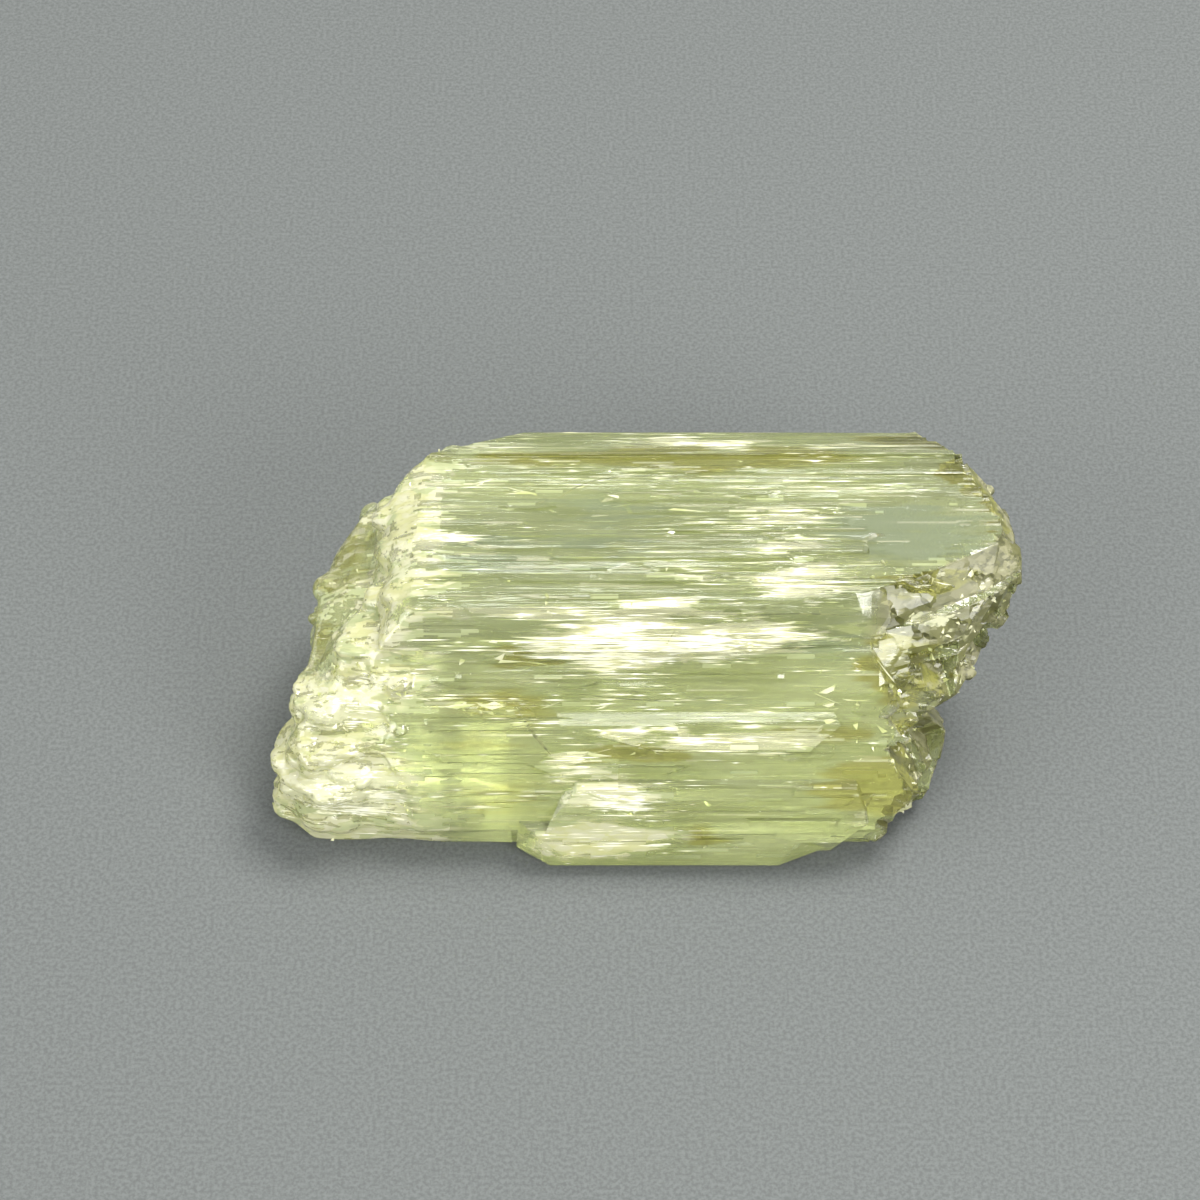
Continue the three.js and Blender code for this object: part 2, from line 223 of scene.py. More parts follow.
# Yellow-green of the waxy mosaic, also its painted shade where the lumps meet.
WAX_GREEN_AND_SHADE = (0.88, 0.87, 0.44)
OLIVE_GREEN = (0.46, 0.45, 0.12)
OLIVE_DEEP = (0.24, 0.24, 0.04)
PALE_BLUE = (0.51, 0.59, 0.34)
# Chipped faces: painted light where they face up and painted shade where they turn away, besides their own
# cream and olive tones.
BROKEN_PALE_AND_LIT = (0.54, 0.51, 0.30)
BROKEN_DARK_AND_SHADED = (0.22, 0.21, 0.07)
SEEN_THROUGH = (0.84, 0.86, 0.35)  # what is left of white light inside the crystal
ABSORPTION = 40  # density, per metre
SPODUMENE_IOR = 1.66
BUMP_DEPTH = 0.018 * MM

# Softboxes: name, place, width and height in metres, power in watts, and colour.
LIGHTS = (
    ("key", (0.12, 0.10, 0.32), 0.14, 0.14, 1.5, (1, 0.99, 0.95)),
    ("front_left", (-0.28, -0.24, 0.20), 0.22, 0.20, 0.75, (1, 1, 0.97)),
    ("front_right", (0.26, -0.28, 0.18), 0.20, 0.20, 0.50, (1, 1, 0.98)),
    ("near_right", (0.10, -0.12, 0.10), 0.08, 0.08, 0.16, (1, 1, 0.99)),
    ("back_strip", (0.04, 0.21, 0.35), 0.24, 0.035, 0.20, (0.97, 0.99, 1)),
    ("back_low", (-0.06, 0.40, 0.09), 0.30, 0.12, 0.09, (1, 1, 0.97)),
    ("left_soft", (-0.33, -0.02, 0.16), 0.25, 0.20, 0.30, (1, 0.99, 0.95)),
    ("front_strip", (0.03, -0.23, 0.32), 0.24, 0.04, 0.18, (1, 1, 0.97)),
)
ROOM_LIGHT = (0.98, 0.99, 1.0)
ROOM_STRENGTH = 0.58

CAMERA_AIM = (-1.655, 1.864, 4.5)  # in mm
CAMERA_ELEVATION = math.radians(50)
CAMERA_DISTANCE = 0.14
CAMERA_LENS = 113.58  # in mm, as is the sensor
CAMERA_SENSOR = 36
CAMERA_NEAREST = 0.005


# ---------- repeatable noise ----------

def hashed(ix, iy, iz, seed):
    """One number from 0 to 1 for each lattice point, scattered by large multipliers."""
    n = (ix * 374761393 + iy * 668265263 + iz * 2147483647 + seed * 974634777) & 0xFFFFFFFF
    n = ((n ^ (n >> 13)) * 1274126177) & 0xFFFFFFFF
    n = (n ^ (n >> 16)) * 2246822519 & 0xFFFFFFFF
    return ((n ^ (n >> 15)) & 0xFFFFFF) / float(0xFFFFFF)


def smooth_noise(points, along, across, seed):
    """Value noise from 0 to 1 whose cells measure along in X and across in Y and Z, in mm."""
    p = points / np.asarray((along * MM, across * MM, across * MM))
    cell = np.floor(p).astype(np.int64)
    f = p - cell
    f = f * f * (3 - 2 * f)
    total = np.zeros(len(p))
    for corner in range(8):
        bits = [(corner >> axis) & 1 for axis in range(3)]
        weight = np.prod([f[:, a] if bits[a] else 1 - f[:, a] for a in range(3)], axis=0)
        total += weight * hashed(*(cell[:, a] + bits[a] for a in range(3)), seed)
    return total


def ramp(value, low, high):
    """A soft step from 0 at low to 1 at high, which may be the smaller."""
    t = np.clip((value - low) / (high - low), 0, 1)
    return t * t * (3 - 2 * t)


def cover(points, places):
    """How strongly each point is covered by any of the places, which all have ragged outlines."""
    shove = 2.0 * MM * (smooth_noise(points, 1.6, 0.20, 71) - 0.5)
    lift = 0.7 * MM * (smooth_noise(points, 1.1, 0.7, 72) - 0.5)
    points = points + np.stack((shove, lift, -lift), axis=1)
    most = np.zeros(len(points))
    for middle, half, strength in places:
        away = np.linalg.norm((points - np.array(middle) * MM) / (np.array(half) * MM), axis=1)
        most = np.maximum(most, strength * (1 - ramp(away, 0.35, 1.25)))
    return most


# ---------- the crystal's surface ----------

def cut_across(bm, axis, places):
    """Cut every face of the solid at these places along an axis."""
    normal = Vector((axis == 0, axis == 1, axis == 2))
    for place in places:
        geometry = bm.verts[:] + bm.edges[:] + bm.faces[:]
        bmesh.ops.bisect_plane(bm, geom=geometry, dist=CUT_TOLERANCE,
                               plane_co=normal * float(place), plane_no=normal)


def sliced_solid():
    """The CAD solid cut into narrow strips along the c axis, so that striations have somewhere to sit."""
    bm = bmesh.new()
    bm.from_mesh(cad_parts["crystal"].data)
    bmesh.ops.remove_doubles(bm, verts=bm.verts, dist=WELD_DISTANCE)
    bmesh.ops.dissolve_limit(bm, angle_limit=FLAT_ANGLE, verts=bm.verts, edges=bm.edges)
    for axis in (1, 2):
        cut_across(bm, axis, np.arange(CAD_LOW[axis] + 0.73 * STRIP_WIDTH, CAD_HIGH[axis], STRIP_WIDTH))
    for start, end, length in STRIP_LENGTHS:
        cut_across(bm, 0, np.arange(start, end, length) * MM)
    bmesh.ops.triangulate(bm, faces=[f for f in bm.faces if len(f.verts) > 4])
    bmesh.ops.remove_doubles(bm, verts=bm.verts, dist=WELD_DISTANCE)
    bmesh.ops.holes_fill(bm, edges=[e for e in bm.edges if e.is_boundary], sides=0)
    bm.verts.index_update()
    return bm


def sharp_edges(bm):
    """How sharply the surface turns outwards at each vertex, from 0 to 1."""
    sharp = np.zeros(len(bm.verts))
    for edge in bm.edges:
        turn = edge.calc_face_angle_signed(0.0)
        if turn > 0.35:
            for vert in edge.verts:
                sharp[vert.index] = max(sharp[vert.index], min(1.0, turn / 1.2))
    return sharp


def etching(points):
    """How etched the surface is at each point, from 0 to 1."""
    wander = ETCH_WANDER * (smooth_noise(points, 2.6, 1.3, 3) - 0.5)
    wander += ETCH_FRAY * (smooth_noise(points, 1.6, 0.3, 4) - 0.5)
    return 1 - ramp(points[:, 0] + wander, ETCH_FULL, ETCH_START)


def wobbled(points, weight):
    """The points pushed about a little, so that no crease there runs straight."""
    pushes = [amount * MM * (smooth_noise(points, 1.3, 0.9, seed) - 0.5) for seed, amount in WOBBLES]
    return points + np.stack(pushes, axis=1) * weight[:, None]


def rounded(points, edges, weight):
    """Each point drawn towards the middle of its neighbours, as much as its weight says."""
    degree = np.bincount(edges.ravel(), minlength=len(points))[:, None]
    for _ in range(ROUNDING_ROUNDS):
        total = np.zeros_like(points)
        np.add.at(total, edges[:, 0], points[edges[:, 1]])
        np.add.at(total, edges[:, 1], points[edges[:, 0]])
        points = points + weight[:, None] * (total / degree - points)
    return points


def softened_end(points, edges, etch, off_base):
    """The etched end wobbled and rounded; the base stays flat and the ledge is only rounded."""
    off_ledge = 1 - np.minimum(1, 1.8 * cover(points, OLIVE_LEDGE))
    points = wobbled(points, etch * off_base * off_ledge)
    return rounded(points, edges, ROUNDING * etch * off_base)


def breakage(points, normals):
    """How broken the surface is at each point, from 0 to 1: the faces of the right end."""
    return ramp(points[:, 0], BREAK_START, BREAK_FULL) * ramp(normals[:, 0], 0.06, 0.22)


def splinters(points):
    """Small flat breaks, each tilted its own way: depth under the face, for the broken right end."""
    random = np.random.default_rng(8)
    seeds = random.uniform(*SPLINTER_BOX, (SPLINTER_COUNT, 3)) * MM
    tilts = random.normal(0, SPLINTER_TILT, (SPLINTER_COUNT, 3))
    depths = random.uniform(*SPLINTER_DEPTHS, SPLINTER_COUNT) * MM
    depth = np.zeros(len(points))
    near = np.flatnonzero(points[:, 0] > 6.8 * MM)
    for start in range(0, len(near), SPLINTERS_AT_ONCE):
        part = near[start:start + SPLINTERS_AT_ONCE]
        away = points[part, None, :] - seeds[None, :, :]
        closest = np.argmin((away ** 2).sum(axis=2), axis=1)
        away = points[part] - seeds[closest]
        depth[part] = depths[closest] + (away * tilts[closest]).sum(axis=1)
    return depth


def calmness(points, normals, etch):
    """Where the crystal is smooth, from 0 to 1: chosen places, and patches all over the front."""
    patches = ramp(smooth_noise(points, 3.4, 0.8, 61), 0.22, 0.42)
    return np.maximum(cover(points, CALM), 1.1 * patches * ramp(-normals[:, 1], 0.3, 0.6) * (1 - etch))


def striations(points):
    """Fine grooves along the c axis, and the broader flat ledges between them."""
    fine = smooth_noise(points, 4.5, 0.14, 11)
    bands = smooth_noise(points, 9, 0.5, 12)
    ledges = np.floor(smooth_noise(points, 12, 0.6, 13) * 5) / 5
    return STRIA_DEPTH * (fine + bands - 1) + LEDGE_DEPTH * (ledges * bands - 0.2)


def etch_lumps(points):
    """The lumps, knots and low terraces of the etched end, fainter on its ledge."""
    lumps = smooth_noise(points, 1.5, 0.5, 14)
    knots = smooth_noise(points, 0.7, 0.3, 15)
    terraces = np.floor(smooth_noise(points, 1.6, 0.35, 16) * 6) / 6
    depth = LUMP_DEPTH * (lumps - 0.6) + KNOT_DEPTH * (knots - 0.6) + TERRACE_DEPTH * (terraces - 0.5)
    return depth * (1 - np.minimum(0.8, 1.6 * cover(points, OLIVE_LEDGE)))


def relief(points, etch, broken, calm):
    """How far each point sits under the plain face."""
    plain = striations(points) * (1 - etch) * (1 - 0.8 * broken) * (1 - 0.9 * np.minimum(calm, 1))
    return plain + etch_lumps(points) * etch + splinters(points) * broken


# ---------- meshes ----------

Surface = namedtuple("Surface", "tree centres normals areas")


def read_vectors(collection, attribute, size=3, kind=np.float64):
    """An attribute of every vertex, edge or face, one row for each."""
    values = np.empty(len(collection) * size, dtype=kind)
    collection.foreach_get(attribute, values)
    return values.reshape(-1, size)


def surface_of(piece):
    """What the small pieces are laid on: a tree to search, and each face's centre, normal and area."""
    mesh = piece.data
    tree = BVHTree.FromPolygons([v.co[:] for v in mesh.vertices], [p.vertices[:] for p in mesh.polygons])
    centres, normals = (read_vectors(mesh.polygons, attribute) for attribute in ("center", "normal"))
    return Surface(tree, centres, normals, read_vectors(mesh.polygons, "area", 1)[:, 0])


def inside_box(points):
    """The points, none of them outside the CAD solid's box."""
    return np.clip(np.array(points), np.array(CAD_LOW), np.array(CAD_HIGH))


def move_points(mesh, points):
    """Put the mesh's vertices at these points."""
    mesh.vertices.foreach_set("co", points.ravel())
    mesh.update()


def new_piece(mesh):
    """An object of the mesh's own name in the scene."""
    piece = bpy.data.objects.new(mesh.name, mesh)
    bpy.context.scene.collection.objects.link(piece)
    return piece


def small_piece(name, points, faces, finish):
    """A piece of many small closed shapes in one finish."""
    mesh = bpy.data.meshes.new(name)
    mesh.from_pydata([tuple(point) for point in inside_box(points)], [], faces)
    mesh.materials.append(finish)
    return new_piece(mesh)


# ---------- the crystal ----------

def add_layers(mesh, points, normals, sharp, etch, broken, calm):
    """Write on the mesh how strongly each point shows everything that the finishes ask for."""
    olive = cover(points, OLIVE)
    waxy = np.maximum(cover(points, WAXY), 0.6 * etch) * (1 - 0.95 * np.minimum(olive, 1))
    layers = {
        "edge": sharp, "etched": etch, "broken": broken, "calm": calm, "facing_up": normals[:, 2],
        "waxy": waxy, "olive": olive, "white": cover(points, WHITE_AND_GLINT), "bluish": cover(points, BLUISH),
    }
    for name, values in layers.items():
        attribute = mesh.attributes.new(name, "FLOAT", "POINT")
        attribute.data.foreach_set("value", values.astype(np.float32))


def add_finishes(mesh):
    """Waxy faces where the crystal is etched or broken, clear ones in the window, plain ones elsewhere."""
    mesh.materials.append(spodumene("body_spodumene", see_through=0.78, dullness=0.08))
    mesh.materials.append(spodumene("clear_spodumene", see_through=0.72, dullness=0.10))
    mesh.materials.append(spodumene("waxy_spodumene", see_through=0.54, dullness=0.06, lumpy_face=True))
    body_slot, clear_slot, waxy_slot = range(3)
    faces, normals = (read_vectors(mesh.polygons, attribute) for attribute in ("center", "normal"))
    etch = etching(faces)
    patchy = smooth_noise(faces, 2.6, 0.30, 31) - 0.5
    patchy += 1.2 * (smooth_noise(faces, 0.7, 0.08, 32) - 0.5)
    waxy = np.maximum(cover(faces, WAXY), 0.6 * etch) + 0.8 * patchy - cover(faces, OLIVE_LEDGE)
    waxy = np.maximum(waxy, 0.6 * breakage(faces, normals) + 0.8 * patchy)
    clear = cover(faces, CLEAR_WINDOW) + 0.8 * patchy
    slots = np.where(waxy > 0.43, waxy_slot, np.where(clear > 0.5, clear_slot, body_slot))
    mesh.polygons.foreach_set("material_index", slots.astype(np.int32))
    mesh.polygons.foreach_set("use_smooth", etch > 0.5)


def crystal_body():
    """The striated crystal, etched on the left and broken on the right."""
    bm = sliced_solid()
    sharp = sharp_edges(bm)
    mesh = bpy.data.meshes.new("hiddenite_crystal")
    bm.to_mesh(mesh)
    bm.free()
    points = read_vectors(mesh.vertices, "co")
    edges = read_vectors(mesh.edges, "vertices", 2, np.int64)
    etch = etching(points)
    off_base = points[:, 2] >= BASE_BAND
    points = softened_end(points, edges, etch, off_base)
    move_points(mesh, points)
    normals = read_vectors(mesh.vertices, "normal")
    broken = breakage(points, normals)
    calm = calmness(points, normals, etch)
    points = points - normals * (relief(points, etch, broken, calm) * off_base)[:, None]
    points = inside_box(points)
    move_points(mesh, points)
    add_layers(mesh, points, normals, sharp, etch, broken, calm)
    add_finishes(mesh)
    return new_piece(mesh)


# ---------- silk fibres ----------

def fibre_chances(surface):
    """How likely a fibre lies on each face: crowded in the white places, which take in the painted glint
    lines, and few elsewhere.
    """
    centres = surface.centres
    crowd = ramp(smooth_noise(centres, 3, 0.5, 51), 0.55, 0.85)
    tufts = ramp(smooth_noise(centres, 1.4, 0.22, 52), 0.3, 0.7)
    wanted = (2.6 * cover(centres, WHITE_AND_GLINT) ** 2 + 0.5 * cover(centres, WAXY)) * tufts + 0.15 * crowd
    off_calm = np.maximum(0, 1 - 0.9 * cover(centres, CALM))
    wanted = wanted * off_calm * surface.areas * (centres[:, 2] > 0.3 * MM)
    return wanted / wanted.sum()


def needle_at(tree, place, normal, length, width, sunk):
    """The corners of one pointed sliver along the c axis, or None where the surface bends away over it."""
    along = Vector((1, 0, 0)) - normal * normal.x
    if along.length < 0.93:
        return None
    along.normalize()
    across = normal.cross(along)
    ends = []
    for sign in (-1, 1):
        found, found_normal, _, away = tree.find_nearest(place + along * (sign * length / 2))
        if away > 0.05 * MM or found_normal.dot(normal) < 0.8:
            return None
        ends.append(found - found_normal * (sunk + FIBRE_THICKNESS))
    middle = place - normal * (sunk + FIBRE_THICKNESS * 0.3)
    return (*ends, middle + across * (width / 2), middle + normal * FIBRE_THICKNESS,
            middle - across * (width / 2), middle - normal * FIBRE_THICKNESS)


def add_needle(points, faces, corners):
    """A closed eight-sided sliver from its two ends and the four corners round its middle."""
    first = len(points)
    points.extend(corners)
    for k in range(4):
        around, after = first + 2 + k, first + 2 + (k + 1) % 4
        faces.append((first, after, around))
        faces.append((first + 1, around, after))


def silk_fibres(surface):
    """Thin bright slivers of parted crystal, on the surface and sunk into it."""
    random = np.random.default_rng(21)
    points, faces = [], []
    for index in random.choice(len(surface.centres), FIBRE_COUNT, p=fibre_chances(surface)):
        length = random.uniform(*FIBRE_LENGTHS) * MM
        width = random.uniform(*FIBRE_WIDTHS) * MM
        shift, side = random.uniform(-0.4, 0.4, 2) * MM
        across = Vector(surface.normals[index]).cross(Vector((1, 0, 0)))
        place = Vector(surface.centres[index]) + Vector((shift, 0, 0)) + across * side * 0.15
        found, found_normal, _, _ = surface.tree.find_nearest(place)
        sunk = max(0, random.uniform(-0.5, 0.6)) * MM
        corners = (needle_at(surface.tree, found, found_normal, length, width, sunk)
                   or needle_at(surface.tree, found, found_normal, length / 3, width, sunk))
        if corners:
            add_needle(points, faces, corners)
    return small_piece("silk_fibres", points, faces, silk_finish())


# ---------- flakes and crumbs ----------

def wedge_outline(random, length, width):
    """A sharp three- to five-cornered flake seen from above."""
    turns = np.sort(random.uniform(0, 2 * math.pi, random.integers(3, 6)))
    return [(0.5 * length * math.cos(turn), 0.5 * width * math.sin(turn)) for turn in turns]


def add_plate(points, faces, outline, tree, place, normal, sunk, turn):
    """A closed thin plate of the given outline, laid on the surface under place unless that bends away."""
    along = (Vector((1, 0, 0)) - normal * normal.x).normalized()
    across = normal.cross(along)
    cosine, sine = math.cos(turn), math.sin(turn)
    feet = []
    for a, b in outline:
        offset = along * (a * cosine - b * sine) + across * (a * sine + b * cosine)
        found, found_normal, _, away = tree.find_nearest(place + offset)
        if away > 0.06 * MM or found_normal.dot(normal) < 0.85:
            return
        feet.append(found - normal * sunk)
    first, count = len(points), len(feet)
    points.extend(foot - normal * FLAKE_THICKNESS for foot in feet)
    points.extend(foot + normal * FLAKE_THICKNESS for foot in feet)
    faces.append(tuple(first + k for k in reversed(range(count))))
    faces.append(tuple(first + count + k for k in range(count)))
    for k in range(count):
        after = (k + 1) % count
        faces.append((first + k, first + after, first + count + after, first + count + k))


def add_crumb(points, faces, random, place, size):
    """A little four-cornered splinter of crystal, half sunk and turned any way."""
    corners = [place + Vector(random.normal(0, 1, 3)).normalized() * size * random.uniform(0.6, 1)
               for _ in range(4)]
    a, b, c, d = corners
    if (b - a).cross(c - a).dot(d - a) > 0:
        corners = [b, a, c, d]
    first = len(points)
    points.extend(corners)
    faces.extend(tuple(first + k for k in face) for face in ((0, 1, 2), (0, 3, 1), (1, 3, 2), (2, 3, 0)))


def cleavage_flakes(surface):
    """Thin slanting flakes just under the surface, and pale crumbs on the broken places whose light colour
    partly stands in for glints.
    """
    random = np.random.default_rng(43)
    tree, centres, normals, _ = surface
    areas = surface.areas * (centres[:, 2] > 0.5 * MM)
    points, faces = [], []
    slanting = areas * cover(centres, SLANTING)
    for index in random.choice(len(centres), FLAKE_COUNT, p=slanting / slanting.sum()):
        length = random.uniform(*FLAKE_LENGTHS) * MM
        width = random.uniform(*FLAKE_WIDTHS) * MM
        outline = wedge_outline(random, length, width)
        sunk = random.uniform(*FLAKE_SINKS) * MM
        turn = random.normal(0, FLAKE_TURN)
        add_plate(points, faces, outline, tree, Vector(centres[index]), Vector(normals[index]), sunk, turn)
    # Pale crumbs, partly a painted glint: their light colour stands in for sparkle on the broken places.
    crumbly = areas * (0.02 + cover(centres, CRUMBLY))
    for index in random.choice(len(centres), CRUMB_COUNT, p=crumbly / crumbly.sum()):
        add_crumb(points, faces, random, Vector(centres[index]), random.uniform(*CRUMB_SIZES) * MM)
    return small_piece("cleavage_flakes", points, faces, flake_finish())


# ---------- cracks ----------

def add_crack(points, faces, tree, start, bend, end, width):
    """A closed thin sliver along a curve on the surface, widest at its middle."""
    for step in range(CRACK_STEPS + 1):
        t = step / CRACK_STEPS
        place = start * (1 - t) ** 2 + bend * 2 * t * (1 - t) + end * t ** 2
        along = ((bend - start) * (1 - t) + (end - bend) * t).normalized()
        place, normal, _, _ = tree.find_nearest(place)
        half = along.cross(normal).normalized() * width * MM * (0.15 + math.sin(math.pi * t)) / 2
        ridge, root = place + normal * CRACK_RIDGE, place - normal * CRACK_DEPTH
        points.extend((place - half, place + half, ridge, root))
        if step:
            last = len(points) - 4
            for k, after in ((0, 2), (2, 1), (1, 3), (3, 0)):
                faces.append((last + k, last - 4 + k, last - 4 + after, last + after))
    first = len(points) - 4 * (CRACK_STEPS + 1)
    faces.append((first + 3, first + 1, first + 2, first))
    faces.append((last, last + 2, last + 1, last + 3))


def hairline_cracks(surface):
    """Thin dark curved cracks and veins lying on the surface."""
    points, faces = [], []
    for start, bend, end, width in CRACKS:
        start, bend, end = (Vector(place) * MM for place in (start, bend, end))
        add_crack(points, faces, surface.tree, start, bend, end, width)
    return small_piece("hairline_cracks", points, faces, crack_finish())


# ---------- node helpers ----------

def feed(tree, socket, value):
    """Set a socket to a number, vector or colour, or link another node's output to it."""
    if isinstance(value, (int, float, tuple)):
        socket.default_value = value
    else:
        tree.links.new(value, socket)


def math_node(tree, operation, a, b, clamp=False):
    node = tree.nodes.new("ShaderNodeMath")
    node.operation = operation
    node.use_clamp = clamp
    feed(tree, node.inputs[0], a)
    feed(tree, node.inputs[1], b)
    return node.outputs[0]


def vector_node(tree, operation, a, b):
    node = tree.nodes.new("ShaderNodeVectorMath")
    node.operation = operation
    feed(tree, node.inputs[0], a)
    feed(tree, node.inputs[1], b)
    return node.outputs["Value" if operation == "DOT_PRODUCT" else "Vector"]


def vector_from(tree, *parts):
    """A vector of up to three numbers, the rest 0."""
    node = tree.nodes.new("ShaderNodeCombineXYZ")
    for socket, part in zip(node.inputs, parts):
        tree.links.new(part, socket)
    return node.outputs[0]


def white_noise(tree, vector):
    """A random number for each vector."""
    node = tree.nodes.new("ShaderNodeTexWhiteNoise")
    tree.links.new(vector, node.inputs["Vector"])
    return node.outputs["Value"]


def mixed_value(tree, factor, a, b):
    node = tree.nodes.new("ShaderNodeMix")
    for socket, value in ((0, factor), (2, a), (3, b)):
        tree.links.new(value, node.inputs[socket])
    return node.outputs[0]


def mixed_colour(tree, factor, a, b):
    node = tree.nodes.new("ShaderNodeMix")
    node.data_type = "RGBA"
    tree.links.new(factor, node.inputs[0])
    for socket, value in ((6, a), (7, b)):
        feed(tree, node.inputs[socket], (*value, 1) if isinstance(value, tuple) else value)
    return node.outputs[2]


def weighted(tree, *parts):
    """Sum of value times weight."""
    total = None
    for value, weight in parts:
        part = math_node(tree, "MULTIPLY", value, weight)
        total = part if total is None else math_node(tree, "ADD", total, part)
    return total


def spread_out(tree, value, low, high):
    """Value mapped so that low gives 0 and high gives 1, with a soft step between."""
    node = tree.nodes.new("ShaderNodeMapRange")
    node.interpolation_type = "SMOOTHSTEP"
    feed(tree, node.inputs["From Min"], low)
    feed(tree, node.inputs["From Max"], high)
    tree.links.new(value, node.inputs["Value"])
    return node.outputs[0]


def torn(tree, zone, breakup, low, high):
    """A zone with crisp, torn edges."""
    centred = math_node(tree, "SUBTRACT", breakup, 0.5)
    return spread_out(tree, math_node(tree, "ADD", zone, centred), low, high)


def layer(tree, name):
    """One of the layers written on the mesh."""
    node = tree.nodes.new("ShaderNodeAttribute")
    node.attribute_name = name
    return node.outputs["Fac"]


def place_apart(tree):
    """The place on the crystal in metres, as separate X, Y and Z."""
    place = tree.nodes.new("ShaderNodeTexCoord")
    apart = tree.nodes.new("ShaderNodeSeparateXYZ")
    tree.links.new(place.outputs["Object"], apart.inputs[0])
    return apart.outputs


# ---------- shader groups ----------

def shared_group(name, inputs, outputs, fill):
    """The node group of this name, made and filled the first time that it is wanted."""
    if name in bpy.data.node_groups:
        return bpy.data.node_groups[name]
    group = bpy.data.node_groups.new(name, "ShaderNodeTree")
    for socket in inputs:
        group.interface.new_socket(socket, in_out="INPUT", socket_type="NodeSocketFloat")
    for socket in outputs:
        group.interface.new_socket(socket, in_out="OUTPUT", socket_type="NodeSocketFloat")
    fill(group, group.nodes.new("NodeGroupInput").outputs, group.nodes.new("NodeGroupOutput").inputs)
    return group


def placed(tree, name, values, outputs, fill):
    """The outputs of a shared group in this tree, with its own values on the group's sockets."""
    node = tree.nodes.new("ShaderNodeGroup")
    node.node_tree = shared_group(name, values, outputs, fill)
    for socket, value in values.items():
        node.inputs[socket].default_value = value
    return [node.outputs[output] for output in outputs]


def fill_rows(group, given, result):
    """Straight rows along the c axis, each cut into dashes from its own start."""
    place = place_apart(group)
    per_width = math_node(group, "DIVIDE", MM_PER_METRE, given["Width"])
    numbers = [math_node(group, "FLOOR", math_node(group, "MULTIPLY", place[axis], per_width), 0)
               for axis in ("Y", "Z")]
    row = white_noise(group, vector_from(group, given["Shift"], *numbers))
    per_length = math_node(group, "DIVIDE", MM_PER_METRE, given["Length"])
    along = math_node(group, "MULTIPLY", place["X"], per_length)
    moved = math_node(group, "ADD", along, math_node(group, "MULTIPLY", row, 89.0))
    dash = white_noise(group, vector_from(group, math_node(group, "FLOOR", moved, 0), row))
    group.links.new(row, result["Row"])
    group.links.new(dash, result["Dash"])


def rows(tree, width, length, shift):
    """A random number for each row along the c axis, and one for each dash in it; sizes in mm."""
    values = {"Width": width, "Length": length, "Shift": shift}
    return placed(tree, "c_axis_rows", values, ("Row", "Dash"), fill_rows)


def drawn_out_place(group, given):
    """The place on the crystal in units of Width, drawn out along X, each row moved its own way if Ragged."""
    place = place_apart(group)
    row, _ = rows(group, 0.11, 3.0, 77)
    shove = math_node(group, "MULTIPLY", math_node(group, "SUBTRACT", row, 0.5), given["Ragged"])
    per_width = math_node(group, "DIVIDE", MM_PER_METRE, given["Width"])
    along = math_node(group, "ADD", math_node(group, "MULTIPLY", place["X"], MM_PER_METRE), shove)
    length = math_node(group, "MULTIPLY", given["Width"], given["Drawn Out"])
    across = [math_node(group, "MULTIPLY", place[axis], per_width) for axis in ("Y", "Z")]
    scaled = vector_from(group, math_node(group, "DIVIDE", along, length), *across)
    return vector_node(group, "ADD", scaled, given["Shift"])


def fill_streaks(group, given, result):
    """Noise drawn out along the c axis, spread between Low and High."""
    noise = group.nodes.new("ShaderNodeTexNoise")
    noise.inputs["Scale"].default_value = 1.0
    noise.inputs["Roughness"].default_value = 0.6
    group.links.new(given["Detail"], noise.inputs["Detail"])
    group.links.new(drawn_out_place(group, given), noise.inputs["Vector"])
    spread = spread_out(group, noise.outputs["Fac"], given["Low"], given["High"])
    group.links.new(spread, result["Streaks"])


def streaks(tree, width, drawn_out, low, high, shift, ragged=0.0, detail=2.0):
    """Streaks along the c axis, from 0 to 1; width and ragged in mm."""
    values = {"Width": width, "Drawn Out": drawn_out, "Low": low, "High": high, "Shift": shift,
              "Ragged": ragged, "Detail": detail}
    return placed(tree, "c_axis_streaks", values, ("Streaks",), fill_streaks)[0]


def fill_breaks(group, given, result):
    """Flat breaks drawn out along the c axis, which meet in crisp lines."""
    place = drawn_out_place(group, given)
    cells = group.nodes.new("ShaderNodeTexVoronoi")
    cells.inputs["Scale"].default_value = 1.0
    group.links.new(place, cells.inputs["Vector"])
    away = vector_node(group, "SUBTRACT", place, cells.outputs["Position"])
    lean = vector_node(group, "SUBTRACT", cells.outputs["Color"], (0.5, 0.5, 0.5))
    tone = group.nodes.new("ShaderNodeSeparateColor")
    group.links.new(cells.outputs["Color"], tone.inputs[0])
    group.links.new(tone.outputs[0], result["Tone"])
    group.links.new(vector_node(group, "DOT_PRODUCT", away, lean), result["Height"])
    group.links.new(cells.outputs["Distance"], result["Away"])


def breaks(tree, width, drawn_out, shift, ragged):
    """The tone and tilted height of each flat break, and how far its middle is; sizes in mm."""
    values = {"Width": width, "Drawn Out": drawn_out, "Shift": shift, "Ragged": ragged}
    return placed(tree, "cleavage_breaks", values, ("Tone", "Height", "Away"), fill_breaks)


# ---------- finishes ----------

def new_finish(name, settings):
    """A material with these settings on its shader."""
    mat = bpy.data.materials.new(name)
    mat.use_nodes = True
    shader = mat.node_tree.nodes["Principled BSDF"]
    for socket, value in settings.items():
        shader.inputs[socket].default_value = value
    return mat, mat.node_tree, shader


